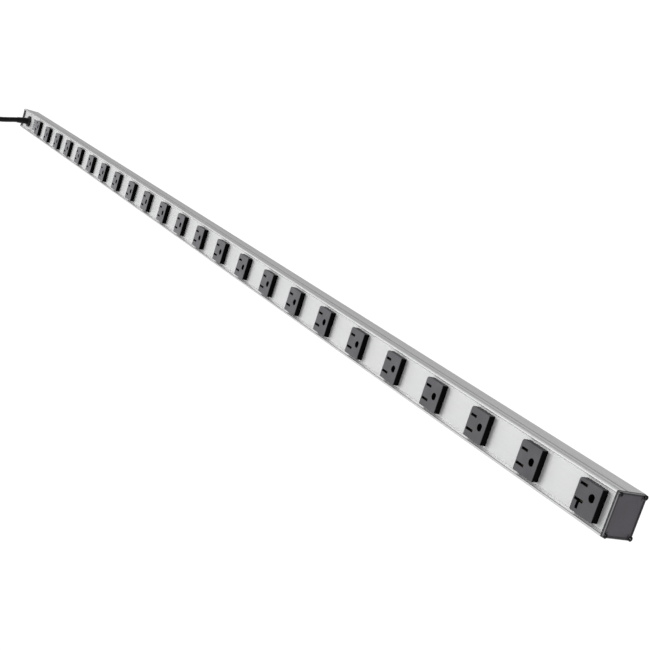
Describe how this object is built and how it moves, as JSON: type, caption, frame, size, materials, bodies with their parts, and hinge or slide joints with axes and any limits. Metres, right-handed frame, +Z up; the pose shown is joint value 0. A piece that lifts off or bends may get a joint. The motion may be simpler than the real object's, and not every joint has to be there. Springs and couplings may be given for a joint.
{
  "type": "rack power strip",
  "caption": "Long rack power strip: extruded aluminium channel with a row of snap-in receptacles, plastic end caps and a cord with plug.",
  "frame": {"origin": "centre of the strip's own box, without its cord, at the height of the surface that it lies on", "axes": "+X along the strip, away from the cord's end; the receptacles face -Y; +Z up, with the strip lying on its lower long side"},
  "size_m": [2.2101, 0.1426, 0.0676],
  "materials": {
    "housing_aluminium": "brushed, clear anodised",
    "panel_aluminium": "satin, clear anodised",
    "cap_plastic": "fine moulded texture",
    "black_steel": "black oxide pan head",
    "outlet_plastic": "fine moulded texture",
    "cover_plastic": "moulded",
    "contact_brass": "bright stamped",
    "liner_sheet": "smooth sheet",
    "bond_steel": "zinc plated",
    "label_film": "blank printed film",
    "bushing_nylon": "moulded",
    "cord_jacket": "smooth extruded jacket",
    "line_insulation": "smooth",
    "neutral_insulation": "smooth",
    "ground_insulation": "smooth",
    "tie_fabric": "woven hook and loop",
    "plug_rubber": "fine moulded texture",
    "plug_nickel": "nickel plated"
  },
  "bodies": {
    "root": {"housing_channel": "housing_aluminium", "front_panel": "panel_aluminium", "end_cap_near": "cap_plastic", "end_cap_far": "cap_plastic", "end_cap_screws_near": "black_steel", "end_cap_screws_far": "black_steel", "outlet_01": "outlet_plastic", "outlet_02": "outlet_plastic", "outlet_03": "outlet_plastic", "outlet_04": "outlet_plastic", "outlet_05": "outlet_plastic", "outlet_06": "outlet_plastic", "outlet_07": "outlet_plastic", "outlet_08": "outlet_plastic", "outlet_09": "outlet_plastic", "outlet_10": "outlet_plastic", "outlet_11": "outlet_plastic", "outlet_12": "outlet_plastic", "outlet_13": "outlet_plastic", "outlet_14": "outlet_plastic", "outlet_15": "outlet_plastic", "outlet_16": "outlet_plastic", "outlet_17": "outlet_plastic", "outlet_18": "outlet_plastic", "outlet_19": "outlet_plastic", "outlet_20": "outlet_plastic", "outlet_21": "outlet_plastic", "outlet_22": "outlet_plastic", "outlet_23": "outlet_plastic", "outlet_24": "outlet_plastic", "outlet_rear_covers": "cover_plastic", "line_contacts": "contact_brass", "neutral_contacts": "contact_brass", "ground_contacts": "contact_brass", "line_bus_bar": "contact_brass", "neutral_bus_bar": "contact_brass", "ground_bus_bar": "contact_brass", "insulating_liner": "liner_sheet", "ground_bond_strap": "bond_steel", "ground_bond_screw": "bond_steel", "rating_label": "label_film", "strain_relief_bushing": "bushing_nylon", "strain_relief_nut": "bushing_nylon", "cord_boot": "cord_jacket", "power_cord": "cord_jacket", "cord_hank": "cord_jacket", "cord_inner_end": "cord_jacket", "line_lead": "line_insulation", "neutral_lead": "neutral_insulation", "ground_lead": "ground_insulation", "cord_tie": "tie_fabric", "plug_body": "plug_rubber", "plug_blades": "plug_nickel", "plug_ground_pin": "plug_nickel"}
  },
  "joints": []
}
